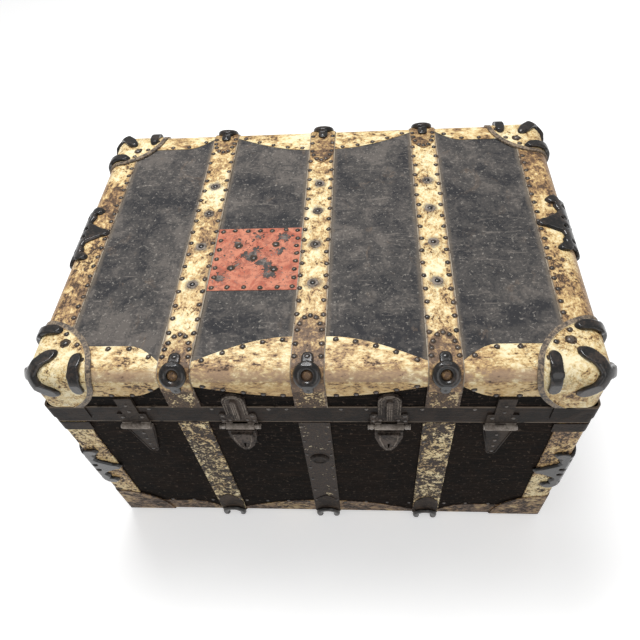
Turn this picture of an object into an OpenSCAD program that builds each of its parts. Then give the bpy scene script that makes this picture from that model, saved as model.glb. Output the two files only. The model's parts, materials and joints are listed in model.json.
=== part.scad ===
// Flat-topped travelling trunk: a board case in black sheet, bound with painted tin and iron.
// The origin is on the floor under the middle of the trunk, +Z is up and the locks face -Y.

/* [Case] */
// Width of the trunk over its covering
trunk_w = 760; // [640:1:860]
// Depth of the trunk over its covering
trunk_d = 536; // [460:1:620]
// Height of the top panel above the floor
trunk_h = 466; // [420:1:560]
// Height of the lid above the joint with the body
lid_h = 104; // [100:1:130]
// Thickness of the side boards
board_t = 12; // [10:0.5:15]
// Thickness of the top and bottom boards
panel_t = 11; // [9:0.5:14]
// Thickness of the covering sheet
cover_t = 1; // [0.6:0.1:1.6]
// Thickness of the paper lining
lining_t = 0.8; // [0.5:0.1:1.5]
// Radius of the lid's rounded edges
edge_r = 20; // [18:0.5:24]
// Radius of the vertical corners of the body and the valance
corner_r = 6; // [4.5:0.5:10]
// Radius of the bottom edges
bottom_r = 9; // [7:0.5:12]
// Gap between the lid's boards and the body's
rim_gap = 0.4; // [0.3:0.1:1]
// How far the body's covering lies inside the lid's
body_inset = 1; // [0.8:0.1:1.6]

/* [Bindings and bands] */
// Thickness of the tin bindings
tin_t = 1; // [0.8:0.1:1.5]
// Thickness of the bands
band_t = 2.4; // [1.8:0.1:3.2]
// Width of each band
band_w = 45; // [36:0.5:52]
// Distance from the end of the trunk to the middle of an outer band
band_in = 204; // [190:1:220]
// Width of the lid's side bindings on the top
side_w = 49; // [40:0.5:56]
// Height of the lid's side bindings on the ends
side_drop = 50; // [40:0.5:54]
// Width of the front and back bindings where a side band crosses them
bind_narrow = 22; // [16:0.5:26]
// Width of the front and back bindings near the corners
bind_corner = 48; // [40:0.5:56]
// Width of the front and back bindings at the middle band
bind_middle = 62; // [50:0.5:70]
// Height of the bottom binding near the corners
bottom_bind_h = 43; // [34:0.5:52]
// Height of the bottom binding beside the outer bands
foot_narrow = 17; // [12:0.5:24]
// Height of the bottom binding beside the middle band
foot_middle = 50; // [40:0.5:60]
// Height of the pointed plates at the feet of the bands
foot_plate_h = 80; // [64:1:92]
// Width of the body's corner bands
corner_band_w = 42; // [34:0.5:50]
// Thickness of the body's corner bands
corner_band_t = 1.8; // [1.4:0.1:2.4]

/* [Runners] */
// Height of the runners that the trunk stands on
runner_h = 8; // [6:0.5:12]
// How far the runners stop short of the front and back
runner_inset = 6; // [4:0.5:10]

/* [Valance] */
// Height of the steel valance round the lid
valance_h = 41; // [36:0.5:46]
// How far the valance hangs below the joint
valance_lap = 12; // [9:0.5:14]
// Thickness of the valance
valance_t = 1.6; // [1.2:0.1:2]
// Length of the valance's corner wraps on each face
wrap_leg = 58; // [44:1:66]
// Thickness of the corner wraps
wrap_t = 1.4; // [1:0.1:2]
// Height of the dark plates at the body's top corners
rim_plate_h = 22; // [16:0.5:28]

/* [Corner hardware] */
// Reach of a lid corner cover from the corner
cover_reach = 93; // [82:1:100]
// Thickness of a corner cover
corner_t = 2; // [1.5:0.1:2.6]
// Width of the rolled edge of a corner cover
cover_roll = 8; // [5:0.5:11]
// Reach of a bottom corner cap from the corner
cap_reach = 88; // [76:1:96]
// Height of the corner bumpers above the covers
bumper_t = 5.5; // [4:0.1:7]
// Width of the bumpers' legs
bumper_w = 13; // [10:0.5:15]
// Reach of a three-legged bumper's rivets from the corner
bumper_reach = 27; // [22:0.5:30]
// Radius of the hollows between the bumpers' legs
bumper_hollow = 22; // [16:0.5:28]
// Distance of the straight edge clamps from the corner
clamp_pitch = 70; // [62:0.5:72]

/* [Ring clamps] */
// Radius of a ring clamp at the middle of its rim
ring_r = 12.5; // [10:0.1:14]
// Radius of a ring clamp's rim
ring_rim_r = 5; // [4:0.1:6]
// Thickness of the pointed plates under the ring clamps
plate_t = 1.2; // [0.8:0.1:1.8]
// Length of the pointed plates at the outer bands
plate_side_len = 72; // [60:1:90]
// Length of the pointed plates at the middle band
plate_middle_len = 103; // [90:1:120]
// Distance of a ring clamp's rivets from the edge
tab_reach = 26; // [23:0.5:30]

/* [Scroll clamps] */
// Half length of a scroll clamp along its edge
scroll_len = 57; // [48:0.5:64]
// Reach of a scroll clamp's point from the edge
scroll_reach = 32; // [26:0.5:36]
// Thickness of a scroll clamp
scroll_t = 5; // [3.5:0.1:6]

/* [Locks and strap hasps] */
// Distance from each lock to the outer band beside it
lock_in = 70; // [64:0.5:74]
// Width of a lock's hasp
lock_w = 40; // [34:0.5:46]
// Distance of each strap hasp from the end of the trunk
strap_in = 121; // [114:0.5:130]
// Width of a strap hasp at its knuckles
strap_w = 42; // [36:0.5:48]
// Length of a strap hasp below its pin
strap_len = 90; // [70:1:100]
// Length of a lock's hasp below its pin
hasp_len = 65; // [55:1:75]
// Depth of a lock's hasp
hasp_t = 11; // [9:0.5:13]
// Thickness of hinge leaves and straps
leaf_t = 2.4; // [1.8:0.1:3]
// Outer radius of the hasps' knuckles
hasp_knuckle_r = 4.5; // [4:0.1:5.5]
// Radius of the hasps' pins
hasp_pin_r = 2.2; // [1.8:0.1:2.6]

/* [Back hinges] */
// Distance of each back hinge from the end of the trunk
hinge_in = 125; // [118:1:140]
// Width of a back hinge
hinge_w = 38; // [30:0.5:46]
// Length of a back hinge's strap on the body
hinge_strap_len = 100; // [80:1:130]
// Outer radius of the hinge knuckles
hinge_knuckle_r = 5; // [4.5:0.1:6]
// Radius of the hinge pins
hinge_pin_r = 2.6; // [2:0.1:3]

/* [Handles] */
// Height of the handles' pins above the floor
handle_z = 262; // [220:1:280]
// Distance between the middles of a handle's eyes
handle_span = 150; // [120:1:180]
// Drop of the leather grip below the pins
handle_drop = 54; // [44:1:64]
// Radius of the leather grip
grip_r = 9.5; // [8:0.1:11]
// Distance of a handle's pins from the end of the trunk
handle_off = 16; // [13.5:0.5:20]
// Radius of a handle's pins
handle_pin_r = 3.5; // [2.5:0.1:4]

/* [Rivets and patch] */
// Radius of the large rivet heads
rivet_r = 5; // [3.5:0.1:6]
// Height of the large rivet heads
rivet_h = 2.4; // [1.5:0.1:3]
// Depth of the red patch from front to back
patch_d = 128; // [90:1:160]
// Distance of the patch's middle from the middle of the lid
patch_y = 58; // [30:1:90]

/* [Hidden] */
$fn = 48;
big = 2000;
fit = 0.05;
gap = 0.4;
past = 9;
cut_depth = 90;
half_w = trunk_w/2;
half_d = trunk_d/2;
band_pitch = half_w - band_in;
lock_x = band_pitch - lock_in;
strap_x = half_w - strap_in;
hinge_x = half_w - hinge_in;
rim_z = trunk_h - lid_h;
base_z = runner_h;
valance_bottom = rim_z - valance_lap;
valance_top = valance_bottom + valance_h;
body_half_w = half_w - body_inset;
body_half_d = half_d - body_inset;
wall = cover_t + board_t;
plate_o = band_t + plate_t;
cover_o = tin_t + corner_t;
bands = [-band_pitch, 0, band_pitch];
sides = [-1, 1];
black = [0.16, 0.15, 0.15];
cream = [0.85, 0.76, 0.56];
iron = [0.22, 0.21, 0.21];
steel = [0.33, 0.29, 0.26];
pine = [0.72, 0.55, 0.36];
paper = [0.80, 0.74, 0.62];
leather = [0.32, 0.18, 0.10];

// Plan outline with rounded corners
module plan(w, d, r) {
    square([w - 2*r, d], center = true);
    square([w, d - 2*r], center = true);
    for (x = sides, y = sides)
        translate([x*(w/2 - r), y*(d/2 - r)]) circle(r);
}

// Standing outline of width w from z = low to z = high, with its two upper corners rounded
module arch(w, low, high, r) {
    translate([-w/2, low]) square([w, high - low - r]);
    translate([-w/2 + r, low]) square([w - 2*r, high - low]);
    for (x = sides)
        translate([x*(w/2 - r), high - r]) circle(r);
}

// The same outline with its two lower corners rounded
module tub(w, low, high, r) {
    translate([-w/2, low + r]) square([w, high - low - r]);
    translate([-w/2 + r, low]) square([w - 2*r, high - low]);
    for (x = sides)
        translate([x*(w/2 - r), low + r]) circle(r);
}

// Prisms of an outline drawn in plan, seen from the front, and seen from the side
module up(low, high) {
    translate([0, 0, low]) linear_extrude(high - low) children();
}
module through_y(near, far) {
    translate([0, far, 0]) rotate([90, 0, 0]) linear_extrude(far - near) children();
}
module through_x(near, far) {
    translate([near, 0, 0]) rotate([90, 0, 90]) linear_extrude(far - near) children();
}

// Prism of an outline seen square on from the front edge, its sides, and a vertical corner
module off_front_edge(x) {
    translate([x, -half_d, trunk_h]) rotate([45, 0, 0])
        linear_extrude(cut_depth, center = true) children();
}
module off_right_edge(y) {
    translate([half_w, y, trunk_h]) rotate([0, 0, 90]) rotate([45, 0, 0])
        linear_extrude(cut_depth, center = true) children();
}
module off_left_corner(z) {
    translate([-body_half_w, -body_half_d, z]) rotate([0, 0, -45]) rotate([90, 0, 0])
        linear_extrude(cut_depth, center = true) children();
}

// What a sphere round (dome_in, dome_in, dome_in) from a top corner takes off the lid's form
dome_in = edge_r + 14;
dome_r = (dome_in - edge_r)*sqrt(2) + edge_r + 0.3;
module corner_trim(o) {
    translate([half_w - dome_in, half_d - dome_in, trunk_h - dome_in]) difference() {
        cube(dome_in + o + 1);
        sphere(dome_r + o);
    }
}

// The lid's outer form, grown by o from its covering, and cut off below z = low;
// pieces that reach its top corners ask for them rounded
module lid_form(o, low = rim_z + rim_gap, rounded = false) {
    difference() {
        intersection() {
            through_y(-half_d - o, half_d + o)
                arch(trunk_w + 2*o, low, trunk_h + o, edge_r + o);
            through_x(-half_w - o, half_w + o)
                arch(trunk_d + 2*o, low, trunk_h + o, edge_r + o);
            up(low, trunk_h + o) plan(trunk_w + 2*o, trunk_d + 2*o, edge_r + o);
        }
        if (rounded) four_corners() corner_trim(o);
    }
}

// The valance's form, grown by o: the lid's sides with the body's sharper corners
module rim_form(o, low, high) {
    up(low, high) plan(trunk_w + 2*o, trunk_d + 2*o, corner_r + o);
}

// The body's outer form, grown by o from its covering
module body_form(o, high = rim_z) {
    w = 2*(body_half_w + o);
    d = 2*(body_half_d + o);
    intersection() {
        through_y(-d/2, d/2) tub(w, base_z - o, high, bottom_r + o);
        through_x(-w/2, w/2) tub(d, base_z - o, high, bottom_r + o);
        up(base_z - o, high) plan(w, d, corner_r + o);
    }
}

// A layer on the lid or on the body between two heights above the covering
module lid_layer(inner, outer, low = rim_z + rim_gap, rounded = false) {
    difference() {
        intersection() {
            lid_form(outer, low, rounded);
            children();
        }
        lid_form(inner, low - 1, rounded);
    }
}
module body_layer(inner, outer, high = rim_z) {
    difference() {
        intersection() {
            body_form(outer, high);
            children();
        }
        body_form(inner, high + 1);
    }
}
module slab(low, high) {
    up(low, high) square([big, big], center = true);
}
module four_corners() {
    for (x = [0, 1], y = [0, 1])
        mirror([x, 0, 0]) mirror([0, y, 0]) children();
}
module both_sides() {
    for (x = [0, 1])
        mirror([x, 0, 0]) children();
}

// Body boards: the ends stand between the front and the back, on the bottom board's edges
body_floor = base_z + cover_t + panel_t;
module body_core() {
    body_form(-cover_t);
}
module front_board() {
    color(pine) intersection() {
        body_core();
        translate([-big/2, -body_half_d, body_floor]) cube([big, wall, big]);
    }
}
module back_board() {
    color(pine) mirror([0, 1, 0]) front_board();
}
module right_end_board() {
    color(pine) intersection() {
        body_core();
        translate([body_half_w - wall, -body_half_d + wall, body_floor])
            cube([wall, 2*(body_half_d - wall), big]);
    }
}
module left_end_board() {
    color(pine) mirror([1, 0, 0]) right_end_board();
}
module bottom_board() {
    color(pine) intersection() {
        body_core();
        slab(0, body_floor);
    }
}

// Black sheet glued round the outside of the body, and its paper lining
module body_covering() {
    color(black) body_layer(-cover_t, 0) slab(0, rim_z);
}
module open_box(w, d, low, high, t) {
    difference() {
        translate([-w/2, -d/2, low]) cube([w, d, high - low]);
        translate([-w/2 + t, -d/2 + t, low + t]) cube([w - 2*t, d - 2*t, high]);
    }
}
module body_lining() {
    color(paper)
        open_box(2*(body_half_w - wall), 2*(body_half_d - wall), body_floor, rim_z - 4, lining_t);
}

// Hardwood runners under the bottom, in line with the bands
module runner(x) {
    translate([x - band_w/2, -body_half_d + runner_inset, 0])
        cube([band_w, 2*(body_half_d - runner_inset), runner_h]);
}
module bottom_runners() {
    color(cream) for (x = bands)
        difference() {
            runner(x);
            body_form(0);
        }
}

// Scalloped tin binding round the bottom edge, in lengths between the bands
bind_flange = 24;
module bottom_binding() {
    color(cream) difference() {
        body_layer(0, tin_t)
            both_sides() for (ends = [bind_ends[0], [bind_ends[1][0], half_w + past]])
                translate([0, 0, base_z]) through_y(-half_d - past, half_d + past)
                    bind_outline(ends, foot_narrow, bottom_bind_h, foot_middle);
        translate([0, 0, base_z - big/2])
            cube([2*(body_half_w - bind_flange), 2*(body_half_d - bind_flange), big], center = true);
    }
}

// Domed caps on the bottom corners
module bottom_corner_caps() {
    color(cream) four_corners()
        body_layer(tin_t, cover_o) difference() {
            translate([-body_half_w, -body_half_d, base_z]) sphere(cap_reach);
            slab(-big, base_z - cover_o + 0.2);
        }
}

// Tin bands down the vertical corners, cut round by the caps
module body_corner_bands() {
    color(cream) four_corners()
        body_layer(0, corner_band_t) difference() {
            translate([-body_half_w - past, -body_half_d - past, base_z + bottom_bind_h])
                cube([corner_band_w + past, corner_band_w + past,
                    rim_band_top - base_z - bottom_bind_h]);
            translate([-body_half_w, -body_half_d, base_z]) sphere(cap_reach + 0.2);
        }
}
rim_band_top = valance_bottom - 3;
rim_plate_w = corner_band_w + 5;
module rim_corner_plates() {
    color(iron) four_corners()
        body_layer(corner_band_t, corner_band_t + wrap_t)
            translate([-body_half_w - past, -body_half_d - past, rim_band_top - rim_plate_h])
                cube([rim_plate_w + past, rim_plate_w + past, rim_plate_h]);
}

// Bands on the body's front and back, from the valance down to the floor of the case
module body_bands() {
    for (x = bands)
        body_layer(0, band_t)
            translate([x - band_w/2, -body_half_d - past, base_z])
                cube([band_w, body_half_d, rim_band_top - base_z]);
}
module front_bands() {
    color(cream) body_bands();
}
module back_bands() {
    color(cream) mirror([0, 1, 0]) body_bands();
}

// Pointed plates at the feet of the bands, and an arched clamp over each
module foot_plates() {
    color(steel) for (m = [0, 1], x = bands)
        mirror([0, m, 0]) body_layer(band_t, plate_o) intersection() {
            translate([x, 0, base_z]) through_y(-body_half_d - past, 0)
                ogive(band_w - plate_margin, foot_plate_h, 0.8*band_w);
            slab(base_z, big);
        }
}
foot_clamp_z = base_z + 5;
foot_clamp_r = 16.5;
foot_rim_r = 4.5;
module foot_clamps() {
    color(iron) for (m = [0, 1], x = bands)
        mirror([0, m, 0]) difference() {
            translate([x, -body_half_d - plate_o, foot_clamp_z]) rotate([90, 0, 0])
                translate([0, 0, 1]) rotate_extrude() translate([foot_clamp_r, 0]) circle(foot_rim_r);
            body_form(plate_o);
            slab(-big, base_z - 2);
        }
}

// Round boss on the middle front band
boss_z = 233;
boss_r = 15;
module front_boss() {
    color(iron) translate([0, -body_half_d - band_t, boss_z]) rotate([90, 0, 0])
        rotate_extrude() difference() {
            union() {
                square([boss_r - 3, 3]);
                translate([boss_r - 4, 0]) intersection() {
                    circle(4);
                    translate([-4, 0]) square(8);
                }
            }
            translate([-big, 0]) square([big, big]);
        }
}

// Scroll clamp outline: a point, two windows and an arm curling back to a rivet at each end
scroll_arm = 9;
module scroll_half() {
    polygon([[0, scroll_reach], [5, scroll_reach - 2], [scroll_len*0.36, 12],
        [scroll_len*0.62, 7], [scroll_len*0.62, 0], [0, 0]]);
    translate([0, scroll_reach - 4]) circle(7);
    translate([scroll_len*0.66, 0]) intersection() {
        difference() {
            circle(scroll_arm + 4);
            circle(5);
        }
        translate([-big/2, 0]) square([big, big]);
    }
    translate([scroll_len - 5, scroll_arm + 4]) circle(7);
    translate([scroll_len - 12, 0]) square([6.5, scroll_arm + 8]);
}
module scroll_outline() {
    difference() {
        for (a = [0, 1], b = [0, 1])
            mirror([a, 0]) mirror([0, b]) scroll_half();
        for (a = sides, b = sides)
            translate([a*9, b*7]) circle(4.5);
    }
}
corner_scroll_z = 200;
module corner_scroll_clamps() {
    color(iron) four_corners()
        body_layer(corner_band_t, corner_band_t + scroll_t)
            off_left_corner(corner_scroll_z) rotate(90) scroll_outline();
}

// Lid boards
lid_inner_top = trunk_h - cover_t - panel_t;
module lid_core() {
    lid_form(-cover_t, rounded = true);
}
module lid_top_board() {
    color(pine) intersection() {
        lid_core();
        slab(lid_inner_top, big);
    }
}
module lid_front_rail() {
    color(pine) intersection() {
        lid_core();
        translate([-big/2, -half_d, rim_z]) cube([big, wall, lid_inner_top - rim_z]);
    }
}
module lid_back_rail() {
    color(pine) mirror([0, 1, 0]) lid_front_rail();
}
module lid_right_rail() {
    color(pine) intersection() {
        lid_core();
        translate([half_w - wall, -half_d + wall, rim_z])
            cube([wall, 2*(half_d - wall), lid_inner_top - rim_z]);
    }
}
module lid_left_rail() {
    color(pine) mirror([1, 0, 0]) lid_right_rail();
}
module lid_covering() {
    color(black) lid_layer(-cover_t, 0, rounded = true) slab(rim_z, big);
}
module lid_lining() {
    color(paper) translate([0, 0, lid_inner_top]) mirror([0, 0, 1])
        open_box(2*(half_w - wall), 2*(half_d - wall), 0, lid_inner_top - rim_z - 4, lining_t);
}

// Width of a scalloped binding at x: narrow at the side bands, wide elsewhere
scallop_run = 46;
function scallop(x, narrow, corner, middle) =
    let (a = abs(x), inner = band_pitch - band_w/2, outer = band_pitch + band_w/2)
    a > outer ? narrow + (corner - narrow)*sin(90*min(1, (a - outer)/scallop_run))
    : a > inner ? narrow
    : narrow + (middle - narrow)*sin(90*min(1, (inner - a)/(inner - band_w/2)));
function scallop_line(from, to, narrow, corner, middle, steps = 14) =
    [for (i = [0:steps]) let (x = from + (to - from)*i/steps)
        [x, scallop(x, narrow, corner, middle)]];
bind_ends = [[band_w/2, band_pitch - band_w/2], [band_pitch + band_w/2, half_w - side_w]];
module bind_outline(ends, narrow, corner, middle) {
    polygon(concat([[ends[1], -20], [ends[0], -20]],
        scallop_line(ends[0], ends[1], narrow, corner, middle)));
}
front_drop = 2;
module edge_binding() {
    for (ends = bind_ends)
        both_sides()
            lid_layer(0, tin_t) intersection() {
                translate([0, -half_d, 0]) up(rim_z, trunk_h + 20)
                    bind_outline(ends, bind_narrow, bind_corner, bind_middle);
                translate([0, 0, trunk_h]) through_y(-half_d - 20, 0) mirror([0, 1])
                    bind_outline(ends, bind_narrow + front_drop, bind_corner, bind_corner);
            }
}
module front_binding() {
    color(cream) edge_binding();
}
module back_binding() {
    color(cream) mirror([0, 1, 0]) edge_binding();
}
module side_bindings() {
    color(cream) both_sides()
        lid_layer(0, tin_t, rounded = true)
            translate([half_w - side_w, -big/2, trunk_h - side_drop]) cube(big);
}

// Bands over the lid, ending on the valance at the front and back
module lid_bands() {
    color(cream) for (x = bands)
        lid_layer(0, band_t)
            translate([x - band_w/2, -big/2, valance_top]) cube([band_w, big, big]);
}

// Pointed plates that lap over the bands at the front and back edges
plate_low = 33;
plate_margin = 3;
module ogive(w, len, tip) {
    r = (tip*tip + w*w/4)/w;
    translate([-w/2, -20]) square([w, 20 + len - tip]);
    translate([0, len - tip]) intersection() {
        translate([w/2 - r, 0]) circle(r);
        translate([r - w/2, 0]) circle(r);
        translate([-w, 0]) square(2*w);
    }
}
module clamp_plate(x, len) {
    lid_layer(band_t, plate_o) intersection() {
        translate([x, -half_d, 0]) up(rim_z, trunk_h + 20)
            ogive(band_w - plate_margin, len, 0.8*band_w);
        slab(trunk_h - plate_low, big);
    }
}
module plate_row() {
    clamp_plate(-band_pitch, plate_side_len);
    clamp_plate(0, plate_middle_len);
    clamp_plate(band_pitch, plate_side_len);
}
module clamp_plates() {
    color(steel) plate_row();
    color(steel) mirror([0, 1, 0]) plate_row();
}

// Ring clamps on the rounded edge, each with a riveted tab above and below
tab_r = 7;
tab_t = 2.4;
edge_mid = (edge_r + plate_o)*(1 - sqrt(0.5)) - plate_o;
module ring_clamp(x) {
    difference() {
        translate([x, -half_d + edge_mid, trunk_h - edge_mid]) rotate([45, 0, 0])
            translate([0, 0, 1]) rotate_extrude() translate([ring_r, 0]) circle(ring_rim_r);
        lid_form(plate_o);
    }
    lid_layer(plate_o, plate_o + tab_t) difference() {
        union() {
            translate([x, -half_d, 0]) up(trunk_h - 3, trunk_h + 20) {
                translate([0, tab_reach]) circle(tab_r);
                translate([-tab_r, 10]) square([2*tab_r, tab_reach - 10]);
            }
            translate([x, 0, trunk_h]) through_y(-half_d - 20, -half_d + 3) {
                translate([0, -tab_reach]) circle(tab_r - 1);
                translate([1 - tab_r, -tab_reach]) square([2*tab_r - 2, tab_reach - 10]);
            }
        }
        off_front_edge(x) circle(ring_r);
    }
}
module front_ring_clamps() {
    color(iron) for (x = bands)
        ring_clamp(x);
}
module back_ring_clamps() {
    color(iron) mirror([0, 1, 0]) for (x = bands)
        ring_clamp(x);
}

// Corner covers with a rolled edge, and the bumpers riveted on them
module corner_point() {
    translate([-half_w, -half_d, trunk_h]) children();
}
cover_low = valance_top + 2;
module corner_covers() {
    color(cream) four_corners() {
        lid_layer(tin_t, cover_o, cover_low, rounded = true) corner_point() sphere(cover_reach);
        lid_layer(tin_t, cover_o + tin_t, cover_low, rounded = true) difference() {
            corner_point() sphere(cover_reach);
            corner_point() sphere(cover_reach - cover_roll);
        }
    }
}
bumper_o = cover_o + bumper_t;
apex_tilt = acos(1/sqrt(3));
hollow_at = (bumper_w/2 + bumper_hollow - gap)/sin(60);
module bumper_outline() {
    for (a = [60, 180, 300])
        rotate(a) {
            translate([0, -bumper_w/2]) square([bumper_reach, bumper_w]);
            translate([bumper_reach, 0]) circle(bumper_w/2 + 1);
        }
    for (a = [0, 120, 240])
        rotate(a) difference() {
            polygon([[0, 0], [hollow_at/4, -hollow_at*sin(60)/2], [hollow_at/4, hollow_at*sin(60)/2]]);
            translate([hollow_at, 0]) circle(bumper_hollow);
        }
}
module corner_bumpers() {
    color(iron) four_corners()
        lid_layer(cover_o, bumper_o, valance_top + 4, rounded = true)
            corner_point() rotate([0, apex_tilt, 225])
                linear_extrude(2*cover_reach, center = true) bumper_outline();
}
clamp_half = 27;
module clamp_outline() {
    square([bumper_w, 2*(clamp_half - bumper_w/2)], center = true);
    circle(bumper_w/2 + 1.5);
    for (y = sides)
        translate([0, y*(clamp_half - bumper_w/2)]) circle(bumper_w/2);
}
module corner_edge_clamps() {
    color(iron) four_corners() {
        lid_layer(cover_o, bumper_o, valance_top + 4)
            off_front_edge(-half_w + clamp_pitch) clamp_outline();
        lid_layer(cover_o, bumper_o, valance_top + 4)
            mirror([1, 0, 0]) off_right_edge(-half_d + clamp_pitch + 4) clamp_outline();
    }
}
module side_scroll_clamps() {
    color(iron) both_sides()
        lid_layer(tin_t, tin_t + scroll_t)
            off_right_edge(3) scroll_outline();
}

// Red patch between the left and the middle band
module repair_patch() {
    color([0.72, 0.36, 0.26]) lid_layer(0, tin_t)
        translate([-band_pitch + band_w/2, -patch_y - patch_d/2, trunk_h - 5])
            cube([band_pitch - band_w, patch_d, 20]);
}

// Steel valance round the lid: it laps over the body at the front and ends, not at the back
pin_head_t = 1.6;
hinge_cut = pin_head_t + 1.4;
module valance() {
    color(steel) difference() {
        rim_form(valance_t, valance_bottom, valance_top);
        rim_form(0, valance_bottom - 1, valance_top + 1);
        translate([-big/2, half_d - corner_r, 0]) cube([big, big, rim_z + rim_gap]);
        for (x = sides)
            translate([x*hinge_x - hinge_w/2 - hinge_cut, 0, 0])
                cube([hinge_w + 2*hinge_cut, big, big]);
    }
}
module valance_corner_wraps() {
    color(steel) four_corners() difference() {
        intersection() {
            rim_form(valance_t + wrap_t, rim_z + rim_gap, valance_top);
            translate([-half_w - past, -half_d - past, 0])
                cube([wrap_leg + past, wrap_leg + past, big]);
        }
        rim_form(valance_t, rim_z, big);
    }
}

// Knuckles of width w along X from x0, on a pin line at (y, z)
module knuckle(x0, w, y, z, r, bore) {
    translate([x0, y, z]) rotate([0, 90, 0]) difference() {
        cylinder(r = r, h = w);
        translate([0, 0, -1]) cylinder(r = bore, h = w + 2);
    }
}
module pin(x, len, y, z, r, head) {
    translate([x - len/2, y, z]) rotate([0, 90, 0]) {
        cylinder(r = r, h = len);
        translate([0, 0, -pin_head_t]) cylinder(r = head, h = pin_head_t);
        translate([0, 0, len]) cylinder(r = head, h = pin_head_t);
    }
}
// Material that joins a leaf to its knuckle without filling the bore
module neck(x0, w, y0, y1, z0, z1, y, z, bore) {
    difference() {
        translate([x0, y0, z0]) cube([w, y1 - y0, z1 - z0]);
        translate([x0 - 1, y, z]) rotate([0, 90, 0]) cylinder(r = bore, h = w + 2);
    }
}

// Back hinges, on a pin line just outside the back at the joint
hinge_y = half_d + 0.5 + hinge_knuckle_r;
hinge_third = hinge_w/3;
module hinge_body_leaf(x) {
    bore = hinge_pin_r + fit;
    y0 = body_half_d;
    top = rim_z - hinge_knuckle_r - 0.8;
    through_y(y0, y0 + leaf_t) {
        translate([x, top]) polygon([[-hinge_w/2, 0], [hinge_w/2, 0], [hinge_w/2, -16],
            [9, -hinge_strap_len + 10], [-9, -hinge_strap_len + 10], [-hinge_w/2, -16]]);
        translate([x, top - hinge_strap_len + 10]) circle(9);
    }
    for (s = [-1, 1]) {
        x0 = x - hinge_w/2 + (s > 0 ? 2*hinge_third + gap/2 : 0);
        w = hinge_third - gap/2;
        knuckle(x0, w, hinge_y, rim_z, hinge_knuckle_r, bore);
        neck(x0, w, y0, y0 + leaf_t, top - 1, rim_z, hinge_y, rim_z, bore);
    }
}
module hinge_body_leaves() {
    color(iron) for (s = sides)
        hinge_body_leaf(s*hinge_x);
}
lid_leaf_h = 45;
module hinge_lid_leaf(x) {
    bore = hinge_pin_r + fit;
    low = rim_z + hinge_knuckle_r + 0.8;
    x0 = x - hinge_w/2 + hinge_third + gap/2;
    w = hinge_third - gap;
    translate([x - hinge_w/2, half_d, low]) cube([hinge_w, leaf_t, lid_leaf_h]);
    knuckle(x0, w, hinge_y, rim_z, hinge_knuckle_r, bore);
    neck(x0, w, half_d, half_d + leaf_t, rim_z + rim_gap, low + 1, hinge_y, rim_z, bore);
}
module hinge_lid_leaves() {
    color(iron) for (s = sides)
        hinge_lid_leaf(s*hinge_x);
}
module hinge_pins() {
    color(steel) for (s = sides)
        pin(s*hinge_x, hinge_w + 0.6, hinge_y, rim_z, hinge_pin_r, hinge_knuckle_r - 0.8);
}

// Pin line shared by the four front hasps, at the valance's lower edge
hasp_y = -half_d - valance_t - gap - hasp_knuckle_r;
hasp_z = valance_bottom - hasp_knuckle_r - gap;
ear_w = (lock_w - 22)/2;
plate_front = half_d + valance_t + leaf_t;
lock_plate_top = trunk_h - bind_corner + 6;
module arch_plate(w, low, high) {
    translate([-w/2, low]) square([w, high - low - w/2]);
    translate([0, high - w/2]) circle(w/2);
}
module lock_lid_plate(x) {
    bore = hasp_pin_r + fit;
    translate([x, 0, 0]) {
        through_y(-plate_front, -half_d - valance_t) difference() {
            union() {
                arch_plate(32, valance_bottom + 1, lock_plate_top);
                translate([-lock_w/2 - 6, valance_bottom + 1]) square([lock_w + 12, 20]);
                for (s = sides)
                    translate([s*(lock_w/2 + 1), valance_bottom + 21]) circle(5);
            }
            translate([-11 - gap/2, 0]) square([22 + gap, valance_bottom + 2*hasp_knuckle_r - 3]);
        }
        through_y(-half_d - valance_t, -half_d)
            intersection() {
                arch_plate(32, valance_bottom + 1, lock_plate_top);
                translate([-big/2, valance_top + 0.2]) square(big);
            }
        through_y(-plate_front - 4, -plate_front + 0.5)
            arch_plate(9, valance_bottom + 14, lock_plate_top - 10);
        for (s = sides) {
            x0 = s > 0 ? 11 + gap/2 : -11 - gap/2 - ear_w;
            knuckle(x0, ear_w, hasp_y, hasp_z, hasp_knuckle_r, bore);
            neck(x0, ear_w, -plate_front, -half_d - valance_t - gap, hasp_z,
                valance_bottom + 2, hasp_y, hasp_z, bore);
        }
    }
}
module lock_lid_plates() {
    color(iron) for (s = sides)
        lock_lid_plate(s*lock_x);
}
module lock_pins() {
    color(steel) for (s = sides)
        pin(s*lock_x, 22 + 2*ear_w + gap + 16, hasp_y, hasp_z, hasp_pin_r, hasp_pin_r + 1.6);
}
base_plate_t = 2;
module lock_base_plates() {
    color(iron) for (s = sides)
        through_y(-body_half_d - base_plate_t, -body_half_d) difference() {
            translate([s*lock_x - 15, hasp_z - hasp_len + 4]) square([30, hasp_len - 16]);
            translate([s*lock_x, hasp_z - 35]) circle(4);
        }
}
hasp_back = body_half_d + base_plate_t + gap;
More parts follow.
